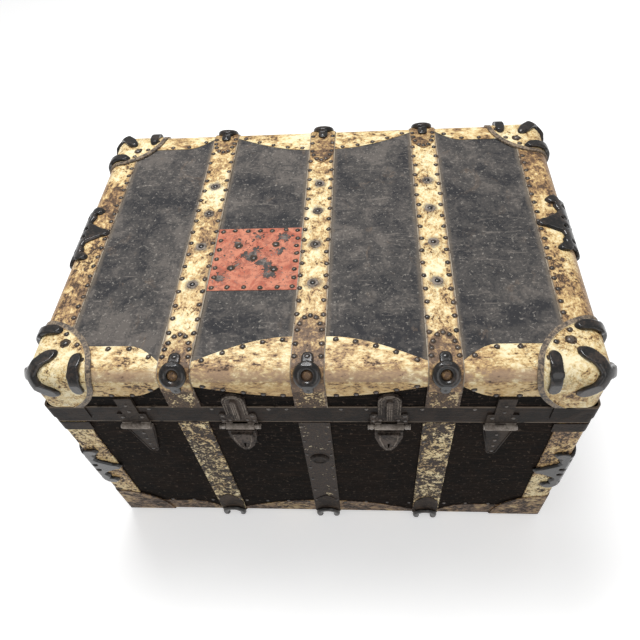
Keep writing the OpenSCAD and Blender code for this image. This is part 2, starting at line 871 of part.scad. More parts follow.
// The hasp is a hollow stamped cup with a keyhole, hanging from its knuckle
module hasp_outline(grow) {
    half = lock_w/2 + grow;
    low = -hasp_len - grow;
    polygon([[-half, -10 + grow], [half, -10 + grow], [half, -28], [0.6*half, low + 9],
        [0.25*half, low], [-0.25*half, low], [-0.6*half, low + 9], [-half, -28]]);
}
hasp_wall = 2;
module lock_hasp(x) {
    bore = hasp_pin_r + fit;
    translate([x, 0, 0]) {
        difference() {
            translate([0, 0, hasp_z]) union() {
                through_y(-hasp_back - hasp_t + 4, -hasp_back) hasp_outline(0);
                through_y(-hasp_back - hasp_t, -hasp_back - 1) hasp_outline(-4);
            }
            translate([0, 0, hasp_z]) through_y(-hasp_back - hasp_t + hasp_wall, -hasp_back + 1)
                hasp_outline(-4 - hasp_wall);
            translate([0, 0, hasp_z - hasp_len + 18]) through_y(-big, 0) {
                translate([0, 4]) circle(2.4);
                translate([-1.2, -6]) square([2.4, 10]);
            }
        }
        knuckle(-11, 22, hasp_y, hasp_z, hasp_knuckle_r, bore);
        neck(-11, 22, -hasp_back - 4, -hasp_back, hasp_z - 11, hasp_z - 1, hasp_y, hasp_z, bore);
    }
}
module left_lock_hasp() {
    color(iron) lock_hasp(-lock_x);
}
module right_lock_hasp() {
    color(iron) lock_hasp(lock_x);
}

// Strap hasps: a leaf on the lid, three knuckles and a tapered strap below
strap_third = strap_w/3;
module strap_lid_leaf(x) {
    bore = hasp_pin_r + fit;
    top = trunk_h - bind_corner - front_drop - 1;
    translate([x, 0, 0]) {
        through_y(-plate_front, -half_d - valance_t) {
            translate([-strap_w/2, valance_bottom + 1]) square([strap_w, 24]);
            translate([-12, valance_bottom + 1]) square([24, top - valance_bottom - 1]);
        }
        through_y(-half_d - valance_t, -half_d)
            translate([-12, valance_top + 0.2]) square([24, top - valance_top - 0.2]);
        for (s = sides) {
            x0 = s > 0 ? strap_third/2 + gap/2 : -strap_w/2;
            w = strap_third - gap/2;
            knuckle(x0, w, hasp_y, hasp_z, hasp_knuckle_r, bore);
            neck(x0, w, -plate_front, -half_d - valance_t - gap, hasp_z,
                valance_bottom + 2, hasp_y, hasp_z, bore);
        }
    }
}
module strap_lid_leaves() {
    color(iron) for (s = sides)
        strap_lid_leaf(s*strap_x);
}
module strap_pins() {
    color(steel) for (s = sides)
        pin(s*strap_x, strap_w + 0.6, hasp_y, hasp_z, hasp_pin_r, hasp_knuckle_r - 1);
}
module strap_hasp(x) {
    bore = hasp_pin_r + fit;
    y0 = -body_half_d - gap - leaf_t;
    top = -hasp_knuckle_r - 0.8;
    w = strap_third - gap;
    translate([x, 0, hasp_z]) {
        through_y(y0, y0 + leaf_t) {
            polygon([[-strap_w/2, top], [strap_w/2, top], [strap_w/2, top - 10],
                [8, 8 - strap_len], [-8, 8 - strap_len], [-strap_w/2, top - 10]]);
            translate([0, 8 - strap_len]) circle(8);
        }
        knuckle(-w/2, w, hasp_y, 0, hasp_knuckle_r, bore);
        neck(-w/2, w, hasp_y, y0 + leaf_t, top - 1, -hasp_pin_r, hasp_y, 0, bore);
    }
}
module left_strap_hasp() {
    color(iron) strap_hasp(-strap_x);
}
module right_strap_hasp() {
    color(iron) strap_hasp(strap_x);
}

// End handles: a leather grip on two eyes, each turning on a pin in an iron bracket
handle_x = body_half_w + handle_off;
eye_w = 12;
eye_r = handle_pin_r + 5;
ear_t = 4;
ear_r = 9;
foot_r = 11;
foot_reach = 13;
bracket_t = 3;
module handle_bracket(y) {
    outer = eye_w/2 + gap + ear_t;
    translate([0, y, handle_z]) {
        through_x(body_half_w, body_half_w + bracket_t) {
            square([2*(outer + foot_reach), 2*foot_r], center = true);
            for (s = sides)
                translate([s*(outer + foot_reach), 0]) circle(foot_r);
        }
        for (s = sides)
            translate([0, s > 0 ? outer - ear_t : -outer, 0]) rotate([-90, 0, 0]) {
                translate([body_half_w, -ear_r, 0]) cube([handle_off, 2*ear_r, ear_t]);
                translate([handle_x, 0, 0]) cylinder(r = ear_r, h = ear_t);
            }
        translate([handle_x, -outer, 0]) rotate([-90, 0, 0])
            cylinder(r = handle_pin_r, h = 2*outer);
    }
}
module right_handle_brackets() {
    color(iron) for (s = sides)
        handle_bracket(s*handle_span/2);
}
module left_handle_brackets() {
    color(iron) mirror([1, 0, 0]) right_handle_brackets();
}
bend_r = 20;
leg_r = 5.5;
module handle_leg() {
    translate([0, handle_span/2, -handle_drop + bend_r])
        difference() {
            cylinder(r = leg_r, h = handle_drop - bend_r);
            translate([0, -big/2, handle_drop - bend_r]) rotate([-90, 0, 0])
                cylinder(r = handle_pin_r + 0.08, h = big);
        }
    translate([0, handle_span/2 - bend_r, -handle_drop + bend_r]) rotate([0, 90, 0])
        rotate_extrude(angle = 90) translate([bend_r, 0]) circle(leg_r);
    translate([0, handle_span/2 - eye_w/2, 0]) rotate([-90, 0, 0]) difference() {
        cylinder(r = eye_r, h = eye_w);
        translate([0, 0, -1]) cylinder(r = handle_pin_r + 0.08, h = eye_w + 2);
    }
}
module right_handle() {
    half = handle_span/2 - bend_r;
    color(leather) translate([handle_x, 0, handle_z]) {
        for (m = [0, 1])
            mirror([0, m, 0]) handle_leg();
        translate([0, 0, -handle_drop]) rotate([-90, 0, 0]) rotate_extrude()
            polygon([[0, -half], [leg_r, -half], [leg_r, 6 - half], [grip_r, 22 - half],
                [grip_r, half - 22], [leg_r, half - 6], [leg_r, half], [0, half]]);
    }
}
module left_handle() {
    color(leather) mirror([1, 0, 0]) right_handle();
}

// Large domed rivets
module rivet(r = rivet_r, h = rivet_h) {
    dome = (r*r + h*h)/(2*h);
    intersection() {
        translate([0, 0, h - dome]) sphere(dome);
        translate([-r, -r, 0]) cube([2*r, 2*r, h]);
    }
}
rivet_rows = [-111, -33, 42, 110];
module lid_band_rivets() {
    color(iron) for (x = bands, y = rivet_rows)
        translate([x, y, trunk_h + band_t]) rivet();
}
module clamp_rivets() {
    rivet_top = trunk_h + plate_o + tab_t;
    color(iron) for (x = bands, m = [0, 1])
        mirror([0, m, 0]) {
            translate([x, -half_d + tab_reach, rivet_top]) rivet(5.5, 2.4);
            translate([x, -half_d - plate_o - tab_t, trunk_h - tab_reach]) rotate([90, 0, 0])
                rivet(4.5, 2);
        }
}

front_board();
back_board();
left_end_board();
right_end_board();
bottom_board();
body_covering();
body_lining();
bottom_binding();
bottom_corner_caps();
body_corner_bands();
corner_scroll_clamps();
rim_corner_plates();
front_bands();
back_bands();
foot_plates();
foot_clamps();
bottom_runners();
front_boss();
lock_base_plates();
hinge_body_leaves();
hinge_pins();
left_handle_brackets();
right_handle_brackets();
left_handle();
right_handle();
lid_top_board();
lid_front_rail();
lid_back_rail();
lid_left_rail();
lid_right_rail();
lid_covering();
lid_lining();
front_binding();
back_binding();
side_bindings();
lid_bands();
corner_covers();
corner_bumpers();
corner_edge_clamps();
clamp_plates();
front_ring_clamps();
back_ring_clamps();
side_scroll_clamps();
repair_patch();
valance();
valance_corner_wraps();
hinge_lid_leaves();
lock_lid_plates();
lock_pins();
strap_lid_leaves();
strap_pins();
lid_band_rivets();
clamp_rivets();
left_lock_hasp();
right_lock_hasp();
left_strap_hasp();
right_strap_hasp();
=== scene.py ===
"""Dresses the tin trunk: worn paint, black sheet and iron finishes, nails, castings, camera and light."""

import json
import math
import random

import bmesh
import bpy
from mathutils import Matrix, Vector
from mathutils.bvhtree import BVHTree

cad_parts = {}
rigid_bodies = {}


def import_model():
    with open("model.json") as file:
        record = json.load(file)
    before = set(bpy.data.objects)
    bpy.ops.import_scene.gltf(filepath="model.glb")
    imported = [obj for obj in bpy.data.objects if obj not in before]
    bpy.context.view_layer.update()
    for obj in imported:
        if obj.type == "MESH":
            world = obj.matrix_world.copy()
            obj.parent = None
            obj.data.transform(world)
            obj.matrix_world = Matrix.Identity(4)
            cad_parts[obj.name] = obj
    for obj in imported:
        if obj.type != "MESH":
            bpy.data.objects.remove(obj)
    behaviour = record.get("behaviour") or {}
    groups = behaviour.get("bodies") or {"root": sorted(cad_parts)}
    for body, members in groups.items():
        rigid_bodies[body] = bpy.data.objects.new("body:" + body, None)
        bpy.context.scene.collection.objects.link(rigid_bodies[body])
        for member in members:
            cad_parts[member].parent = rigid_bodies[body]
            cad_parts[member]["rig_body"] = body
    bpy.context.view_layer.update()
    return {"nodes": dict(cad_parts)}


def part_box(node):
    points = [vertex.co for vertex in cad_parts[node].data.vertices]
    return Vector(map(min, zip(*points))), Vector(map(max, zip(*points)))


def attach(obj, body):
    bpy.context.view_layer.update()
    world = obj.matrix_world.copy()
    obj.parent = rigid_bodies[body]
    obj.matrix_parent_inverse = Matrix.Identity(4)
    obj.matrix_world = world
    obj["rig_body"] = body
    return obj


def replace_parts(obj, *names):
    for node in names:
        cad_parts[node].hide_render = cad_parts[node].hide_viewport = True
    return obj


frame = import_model()
nodes = frame["nodes"]
MM = 0.001
draw = random.Random(1887)

# Driving sizes: the boxes come from the frame, and the rest are the part's own widths and lengths
lid_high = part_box("lid_covering")[1]
body_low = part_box("body_covering")[0]
half_w = lid_high.x
half_d = lid_high.y
top_z = lid_high.z
base_z = body_low.z
valance_low, valance_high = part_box("valance")
bottom_bind_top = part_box("bottom_binding")[1].z
BAND_W = 45 * MM
band_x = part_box("lid_bands")[1].x - BAND_W / 2
SIDE_W = 49 * MM
SIDE_DROP = 50 * MM
side_inner = half_w - SIDE_W
RIVET_ROWS = (-111 * MM, -33 * MM, 42 * MM, 110 * MM)
PIN_Z = 345.1 * MM
COVER_REACH = 93 * MM
COVER_ROLL = 8 * MM
CAP_REACH = 88 * MM
PLATE_LEN = 72 * MM
MIDDLE_PLATE_LEN = 103 * MM
EDGE_R = 20 * MM
PLATE_TIP = 34 * MM
PLATE_RISE = 4 * MM
SCALLOP_RUN = 46 * MM
TOP_WIDTHS = (22 * MM, 48 * MM, 62 * MM)
DROP_WIDTHS = (24 * MM, 50 * MM, 50 * MM)
BANDS = (-band_x, 0, band_x)
SIDES = (-1, 1)

# Nails: how far in from an edge they sit, a usual head, its spread of rust, and the steps of each row
NAIL_IN = 4.5 * MM
NAIL_R = 3 * MM
NAIL_H = 1.6 * MM
RUST_SPREAD = 1.4
BAND_PITCH = 25 * MM
SIDE_TOP_PITCH = 20 * MM
SIDE_LOW_PITCH = 22 * MM
BINDING_PITCH = 27 * MM
WALL_BAND_PITCH = 42 * MM
FOOT_PITCH = 34 * MM


# Shader arithmetic: an expression on values adds its Math nodes
class Value:
    def __init__(self, finish, socket):
        self.finish = finish
        self.socket = socket

    def math(self, operation, *others, **settings):
        inputs = {0: self, **{i + 1: other for i, other in enumerate(others)}}
        return self.finish.node("ShaderNodeMath", dict(operation=operation, **settings), inputs)

    def __add__(self, other):
        return self.math("ADD", other)

    def __sub__(self, other):
        return self.math("SUBTRACT", other)

    def __mul__(self, other):
        return self.math("MULTIPLY", other)

    def __rsub__(self, other):
        return self.finish.node("ShaderNodeMath", {"operation": "SUBTRACT"}, {0: other, 1: self})

    __radd__ = __add__
    __rmul__ = __mul__

    def __abs__(self):
        return self.math("ABSOLUTE")

    def least(self, other):
        return self.math("MINIMUM", other)

    def most(self, other):
        return self.math("MAXIMUM", other)

    def step(self, low, high):
        """0 below low and 1 above high, smooth between; low may be the larger one."""
        settings = {"interpolation_type": "SMOOTHSTEP"}
        if low <= high:
            return self.finish.node("ShaderNodeMapRange", settings, {0: self, 1: low, 2: high})
        return 1 - self.step(high, low)


class Finish:
    """A material round one Principled shader, with one method that adds any other node."""

    def __init__(self, name, **constants):
        self.material = bpy.data.materials.new(name)
        self.material.use_nodes = True
        self.tree = self.material.node_tree
        self.shader = self.tree.nodes["Principled BSDF"]
        for socket, value in constants.items():
            self.shader.inputs[socket.replace("_", " ")].default_value = value
        self.place = self.node("ShaderNodeTexCoord", {}, {}, "Object")

    def node(self, kind, settings, inputs, output=0):
        made = self.tree.nodes.new(kind)
        for key, value in settings.items():
            setattr(made, key, value)
        for key, value in inputs.items():
            if isinstance(value, Value):
                self.tree.links.new(value.socket, made.inputs[key])
            else:
                made.inputs[key].default_value = value
        return Value(self, made.outputs[output])

    def axes(self):
        split = self.node("ShaderNodeSeparateXYZ", {}, {0: self.place})
        outputs = split.socket.node.outputs
        return [Value(self, outputs[i]) for i in range(3)]

    def stretched(self, x, y, z):
        return self.node("ShaderNodeMapping", {}, {"Vector": self.place, "Scale": (x, y, z)})

    def noise(self, scale, detail=4, rough=0.55, bend=0.0, place=None):
        inputs = {
            "Vector": place or self.place, "Scale": scale, "Detail": detail,
            "Roughness": rough, "Distortion": bend,
        }
        return self.node("ShaderNodeTexNoise", {"noise_dimensions": "3D"}, inputs, "Fac")

    def mix(self, share, first, second):
        return self.node("ShaderNodeMix", {"data_type": "RGBA"}, {0: share, 6: first, 7: second}, 2)

    def blend(self, share, first, second):
        return self.node("ShaderNodeMix", {"data_type": "FLOAT"}, {0: share, 2: first, 3: second}, 0)

    def drive(self, socket, value):
        self.tree.links.new(value.socket, self.shader.inputs[socket])

    def bump(self, height, depth):
        made = self.node("ShaderNodeBump", {}, {"Height": height, "Distance": depth, "Strength": 1.0})
        self.drive("Normal", made)


def colour(red, green, blue):
    """A colour written as it looks on a screen, from 0 to 255."""
    def linear(c):
        c /= 255
        return c / 12.92 if c <= 0.04045 else ((c + 0.055) / 1.055) ** 2.4
    return (linear(red), linear(green), linear(blue), 1.0)


PALE = colour(244, 230, 192)
CREAM = colour(230, 208, 156)
STRAW = colour(202, 168, 112)
TAN = colour(158, 124, 84)
UMBER = colour(100, 76, 55)
RUST_BLACK = colour(48, 38, 31)
RUST_BROWN = colour(92, 73, 58)
DEEP_RUST = (colour(26, 20, 16), colour(62, 48, 38))
# Dark brown mixed over whole parts, as painted shade with dirt
SHADE_AND_DIRT_BROWN = colour(72, 54, 38)
DUST = colour(122, 112, 100)
GREY_DIRT = colour(104, 93, 80)
RIDGE_BROWN = colour(176, 148, 122)
ROLL_GREY = colour(70, 62, 56)
ROLL_TAN = colour(150, 132, 110)
OLD_STRAW = colour(196, 158, 98)
# Pale grey of the painted highlight along band edges
EDGE_HIGHLIGHT_PALE = colour(188, 178, 160)
# Wall colours of the black sheet, far darker than its top as painted shade; the lid's narrow wall is the
# darkest
SHADED_WALL_BLACK = {
    "lid": (colour(7, 5, 4), colour(15, 11, 9)),
    "body": (colour(12, 9, 7), colour(24, 18, 14)),
}


def band_distance(x):
    """How far inside a band's edge a point lies, in metres, below 0 outside every band."""
    nearest = abs(abs(x) - band_x).least(abs(x))
    return BAND_W / 2 - nearest


def side_distance(x):
    """How far outside the inner edge of a side binding a point lies, in metres."""
    return abs(x) - side_inner


def corner_distance(x, y, z, height):
    """Distance from the nearest corner of the trunk at that height."""
    across, along, up = abs(x) - half_w, abs(y) - half_d, z - height
    return (across * across + along * along + up * up).math("SQRT")


def rivet_distance(x, y):
    """Distance from the nearest large rivet of the lid's bands."""
    across = abs(abs(x) - band_x).least(abs(x))
    along = None
    for row in RIVET_ROWS:
        off = abs(y - row)
        along = off if along is None else along.least(off)
    return (across * across + along * along).math("SQRT")


def painted_tin(name, wear=0.0, grime=0.0, edge=None, ridge=False, low_wear=0.0, rolled=False,
                grain=(1, 1, 1), middle=0.0, smudged=False, shade_and_dirt=0.0):
    """Cream paint on tin: brown stains and veins, flakes chipped down to dark rust, dirty edges, a painted
    highlight line along band edges, and painted shade with dirt where asked.
    """
    f = Finish(name, Specular_IOR_Level=0.45)
    x, y, z = f.axes()
    drawn = f.stretched(*grain)
    broad = f.noise(9, 3, 0.5, 0.5)
    cloud = f.noise(30, 6, 0.65, 0.6)
    flake = f.noise(105, 7, 0.7, 0.6, drawn)
    fleck = f.noise(290, 5, 0.65, 0.3, drawn)
    low = z.step(top_z - 14 * MM, top_z - 26 * MM)
    worn_low = low * low_wear
    dirt = cloud * 0.32 + flake * 0.38 + fleck * 0.3 + (broad - 0.5) * 0.25 + grime + worn_low * 0.3
    paint = f.mix(dirt.step(0.42, 0.47), PALE, CREAM)
    paint = f.mix(dirt.step(0.475, 0.52), paint, STRAW)
    paint = f.mix(dirt.step(0.515, 0.56), paint, TAN)
    paint = f.mix(dirt.step(0.555, 0.61), paint, UMBER)
    veins = abs(f.noise(75, 6, 0.65, 1.0, drawn) - 0.5).step(0.02, 0.004) * cloud.step(0.42, 0.55)
    paint = f.mix(veins * 0.75, paint, UMBER)
    chips = flake * 0.42 + fleck * 0.33 + cloud * 0.25 + wear + worn_low
    if middle:
        chips = chips + abs(x).step(BAND_W, BAND_W * 0.9) * middle
    if smudged:
        near = rivet_distance(x, y) + (flake - 0.5) * 26 * MM
        paint = f.mix(near.step(14 * MM, 7 * MM) * 0.75, paint, GREY_DIRT)
    if ridge:
        fold = abs(z - (top_z - 8 * MM)).step(9 * MM, 4 * MM)
        rub = fold * (cloud * 0.5 + fleck * 0.5).step(0.36, 0.5)
        paint = f.mix(rub * 0.75, paint, RIDGE_BROWN)
        paint = f.mix(low * 0.5, paint, OLD_STRAW)
        chips = chips - fold * 0.03
    if edge is not None:
        inside = edge(x) + (flake - 0.5) * 9 * MM
        paint = f.mix(inside.step(8 * MM, 1 * MM) * 0.7, paint, TAN)
        paint = f.mix(inside.step(4 * MM, 1 * MM) * 0.85, paint, GREY_DIRT)
        # Painted highlight: a thin pale line along the very edge of each band and side binding
        edge_highlight_line = edge(x).step(1.6 * MM, 0.5 * MM) * cloud.step(0.4, 0.5)
        paint = f.mix(edge_highlight_line * 0.6, paint, EDGE_HIGHLIGHT_PALE)
    paint = f.mix(chips.step(0.545, 0.575) * 0.75, paint, UMBER)
    worn = chips.step(0.572, 0.592)
    # Painted shade with dirt: the whole paint pulled toward dark brown, most of all on the bottom binding
    if shade_and_dirt:
        paint = f.mix(shade_and_dirt, paint, SHADE_AND_DIRT_BROWN)
    old_rust = DEEP_RUST if shade_and_dirt or middle else (RUST_BLACK, RUST_BROWN)
    skin = f.mix(worn, paint, f.mix(fleck.step(0.42, 0.58), *old_rust))
    if rolled:
        rim = corner_distance(x, y, z, top_z)
        roll = rim.step(COVER_REACH - COVER_ROLL, COVER_REACH - COVER_ROLL + 1 * MM)
        roll_skin = f.mix((flake * 0.5 + fleck * 0.5).step(0.44, 0.58), ROLL_GREY, ROLL_TAN)
        skin = f.mix(roll, skin, roll_skin)
    f.drive("Base Color", skin)
    f.drive("Roughness", f.blend(worn, 0.34 + flake * 0.3, 0.6 + fleck * 0.2))
    f.bump((1 - worn) * 0.6 + flake * 0.7 + fleck * 0.2 + broad * 1.8, 1.1 * MM)
    return f.material


def black_sheet(name, part):
    """Black sheet: grey and dusty on top with scuffs and specks, brown-black and scratched on the walls,
    where it is painted far darker as shade.
    """
    f = Finish(name, Specular_IOR_Level=0.04)
    x, y, z = f.axes()
    cloud = f.noise(8, 5, 0.65, 0.8)
    tone = f.noise(34, 8, 0.75, 0.8)
    fine = f.noise(260, 5, 0.7)
    blend = cloud * 0.42 + tone * 0.4 + fine * 0.18
    top = f.mix(blend.step(0.44, 0.50), colour(56, 56, 58), colour(76, 74, 73))
    top = f.mix(blend.step(0.50, 0.57), top, colour(102, 97, 93))
    scuffs = f.noise(22, 8, 0.78, 1.3, f.stretched(1, 0.7, 1)).step(0.57, 0.68)
    top = f.mix(scuffs * 0.45, top, colour(122, 106, 92))
    specks = f.noise(210, 5, 0.7, 0.4).step(0.575, 0.65)
    top = f.mix(specks * 0.6, top, colour(156, 150, 142))
    scratched = f.noise(8, 5, 0.75, 1.5, f.stretched(2.2, 15, 2)).step(0.60, 0.65)
    top = f.mix(scratched * 0.4, top, colour(146, 138, 130))
    margin = (band_distance(x) * -1).least(side_inner - abs(x)) + (tone - 0.5) * 14 * MM
    top = f.mix(margin.step(7 * MM, 0.5 * MM) * 0.6, top, DUST)
    # Painted shade: the walls take a near-black colour far darker than the top
    shaded_wall = f.mix(blend.step(0.45, 0.55), *SHADED_WALL_BLACK[part])
    lines = f.noise(9, 7, 0.75, 0.6, f.stretched(2.5, 2.5, 70)).step(0.53, 0.63)
    shaded_wall = f.mix(lines * 0.5, shaded_wall, colour(76, 60, 50))
    dots = f.noise(150, 5, 0.7).step(0.57, 0.65)
    shaded_wall = f.mix(dots * 0.5, shaded_wall, colour(100, 86, 76))
    skin = shaded_wall
    # The lid's covering turns from the painted-shade wall colour to the top colour over its upper edge
    if part == "lid":
        skin = f.mix(z.step(top_z - 20 * MM, top_z - 5 * MM), shaded_wall, top)
    f.drive("Base Color", skin)
    f.drive("Roughness", 0.5 + tone * 0.25 + fine * 0.1)
    f.bump(tone * 0.6 + fine * 0.3 + f.noise(13, 3) * 1.2, 1.0 * MM)
    return f.material


def cast_iron(name, base, worn, gloss, rust=0.35, shine=0.5):
    """Dark iron, rubbed bright on its high spots and brown with old rust in patches."""
    f = Finish(name, Coat_Weight=shine, Coat_Roughness=0.12, Specular_IOR_Level=0.4)
    cloud = f.noise(40, 5, 0.65, 0.5)
    fine = f.noise(260, 5, 0.65)
    blend = cloud * 0.55 + fine * 0.45
    skin = f.mix(blend.step(0.44, 0.58), base, worn)
    skin = f.mix((cloud * 0.4 + fine * 0.6).step(0.50, 0.62) * rust, skin, colour(84, 64, 50))
    f.drive("Base Color", skin)
    f.drive("Roughness", gloss + fine * 0.2)
    f.bump(fine * 0.4 + cloud * 1.2, 0.5 * MM)
    return f.material


def worn_band_steel(name, base, light, low=None, high=None, knuckles=False):
    """Dark steel strip: brown rust, fine lengthwise scratches, knuckles rubbed light, and a painted
    highlight along its top and bottom edges when those are given.
    """
    f = Finish(name, Specular_IOR_Level=0.12)
    x, y, z = f.axes()
    cloud = f.noise(22, 7, 0.7, 0.7)
    fine = f.noise(280, 5, 0.65)
    blend = cloud * 0.55 + fine * 0.45
    skin = f.mix(blend.step(0.44, 0.56), base, light)
    lines = f.noise(10, 6, 0.7, 0.5, f.stretched(2, 2, 90)).step(0.56, 0.68)
    skin = f.mix(lines * 0.5, skin, colour(98, 84, 72))
    # Painted highlight: a broken light line along the strip's top and bottom edges
    if low is not None:
        rub = (z - low).least(high - z) + (cloud - 0.5) * 1.5 * MM
        skin = f.mix(rub.step(2.4 * MM, 0.6 * MM) * cloud.step(0.34, 0.5), skin, colour(122, 108, 94))
    if knuckles:
        rubbed = z.step(valance_low.z + 3 * MM, valance_low.z) * z.step(PIN_Z - 9 * MM, PIN_Z - 6 * MM)
        bright = f.mix(blend.step(0.4, 0.6), colour(126, 116, 107), colour(180, 170, 160))
        skin = f.mix(rubbed * 0.85, skin, bright)
    f.drive("Base Color", skin)
    f.drive("Roughness", 0.38 + fine * 0.3)
    f.bump(fine * 0.6 + cloud * 1.2, 0.8 * MM)
    return f.material


# Bare spots of the patch: shares of its width and depth, and a radius in millimetres
CHIP_SPOTS = (
    (0.46, 0.55, 12), (0.60, 0.44, 11), (0.27, 0.74, 8), (0.76, 0.62, 8), (0.66, 0.25, 6),
    (0.14, 0.20, 7), (0.80, 0.83, 6), (0.47, 0.86, 5), (0.30, 0.40, 6), (0.13, 0.54, 5),
)


def red_tin(name):
    """Faded red paint with grey patches where it has flaked."""
    f = Finish(name, Specular_IOR_Level=0.4)
    x, y, z = f.axes()
    low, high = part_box("repair_patch")
    cloud = f.noise(30, 7, 0.7, 0.6)
    mottle = f.noise(110, 6, 0.7, 0.3)
    paint = f.mix(cloud.step(0.40, 0.55), colour(172, 90, 66), colour(200, 126, 98))
    paint = f.mix(mottle.step(0.48, 0.60) * 0.7, paint, colour(140, 78, 62))
    near = None
    for across, along, size in CHIP_SPOTS:
        dx = x - (low.x + (high.x - low.x) * across)
        dy = y - (low.y + (high.y - low.y) * along)
        spot = (dx * dx + dy * dy).math("SQRT") - size * MM
        near = spot if near is None else near.least(spot)
    bare = (near + (cloud - 0.5) * 40 * MM + (mottle - 0.5) * 60 * MM).step(1 * MM, -2 * MM)
    nicks = f.noise(240, 4, 0.6).step(0.60, 0.65)
    grey = f.mix(mottle.step(0.42, 0.58), colour(58, 54, 52), colour(128, 116, 108))
    f.drive("Base Color", f.mix(bare.most(nicks), paint, grey))
    f.drive("Roughness", 0.5 + mottle * 0.2)
    f.bump((1 - bare) * 0.6 + mottle * 0.3 + f.noise(14, 3) * 2, 0.8 * MM)
    return f.material


def wood(name, light, dark, stretch):
    """Board, with its grain drawn out along the axis with the smallest stretch."""
    f = Finish(name, Specular_IOR_Level=0.3)
    grain = f.noise(6, 6, 0.6, 1.0, f.stretched(*stretch))
    f.drive("Base Color", f.mix(grain.step(0.35, 0.65), light, dark))
    f.drive("Roughness", 0.55 + grain * 0.2)
    f.bump(grain, 0.6 * MM)
    return f.material


def paper(name):
    """Yellowed lining paper with brown spots."""
    f = Finish(name, Roughness=0.85, Specular_IOR_Level=0.2)
    age = f.noise(11, 5, 0.6, 0.6)
    spots = f.noise(75, 4, 0.6).step(0.62, 0.72)
    sheet = f.mix(age.step(0.35, 0.7), colour(214, 200, 168), colour(186, 162, 120))
    f.drive("Base Color", f.mix(spots * 0.5, sheet, colour(140, 110, 74)))
    f.bump(f.noise(180, 4), 0.3 * MM)
    return f.material


def leather(name):
    """Dark leather with a fine pebble, worn lighter in patches."""
    f = Finish(name, Specular_IOR_Level=0.4)
    grain = f.node("ShaderNodeTexVoronoi", {"feature": "F1"}, {"Vector": f.place, "Scale": 620.0})
    worn = f.noise(35, 5, 0.6, 0.5)
    f.drive("Base Color", f.mix(worn.step(0.4, 0.7), colour(66, 38, 24), colour(112, 72, 46)))
    f.drive("Roughness", 0.42 + worn * 0.25)
    f.bump(grain, 0.4 * MM)
    return f.material


ALONG_X = (0.55, 1, 1)
ALONG_Y = (1, 0.7, 1)
top_paint = painted_tin("band_paint", edge=band_distance, low_wear=0.10, grain=ALONG_Y, smudged=True)
ridge_paint = painted_tin("binding_paint", grime=-0.005, ridge=True, low_wear=0.022, grain=ALONG_X)
side_paint = painted_tin("side_paint", wear=0.03, grime=0.045, edge=side_distance, ridge=True,
                         grain=ALONG_Y)
cover_paint = painted_tin("cover_paint", wear=-0.005, grime=-0.01, rolled=True)
body_paint = painted_tin("body_paint", wear=0.085, grime=0.02, middle=0.075)
# The corner, foot and plate paints are pulled toward dark brown: painted shade with dirt
corner_paint = painted_tin("corner_paint", wear=0.05, grime=0.03, shade_and_dirt=0.05)
foot_paint = painted_tin("foot_paint", wear=0.06, grime=0.08, grain=ALONG_X, shade_and_dirt=0.35)
plate_paint = painted_tin("plate_paint", grime=0.07, shade_and_dirt=0.15)
sheet_lid = black_sheet("lid_sheet", "lid")
sheet_body = black_sheet("body_sheet", "body")
iron = cast_iron("iron", colour(13, 11, 10), colour(36, 31, 28), 0.2, shine=0.45)
foot_steel = worn_band_steel("foot_steel", colour(34, 27, 23), colour(72, 60, 50))
dark_steel = worn_band_steel("dark_steel", colour(26, 21, 18), colour(54, 45, 39))
strap_steel = worn_band_steel("strap_steel", colour(30, 25, 22), colour(62, 53, 46), knuckles=True)
lock_steel = worn_band_steel("lock_steel", colour(38, 33, 30), colour(90, 80, 73), knuckles=True)
leaf_steel = worn_band_steel("leaf_steel", colour(78, 70, 63), colour(142, 132, 122))
# The valance, with a painted highlight along its top and bottom edges
valance_steel = worn_band_steel("valance_steel", colour(22, 17, 14), colour(44, 35, 29),
                                valance_low.z, valance_high.z)
worn_steel = cast_iron("worn_steel", colour(112, 103, 95), colour(176, 166, 156), 0.30, 0.2)
nail_iron = cast_iron("nail_iron", colour(44, 38, 34), colour(96, 86, 77), 0.25, 0.4)
patch_red = red_tin("patch_red")
pine = wood("pine", colour(190, 154, 108), colour(150, 112, 72), (3, 30, 30))
slat = wood("slat", colour(150, 122, 82), colour(84, 62, 42), (30, 3, 30))
lining = paper("lining_paper")
hide = leather("handle_leather")

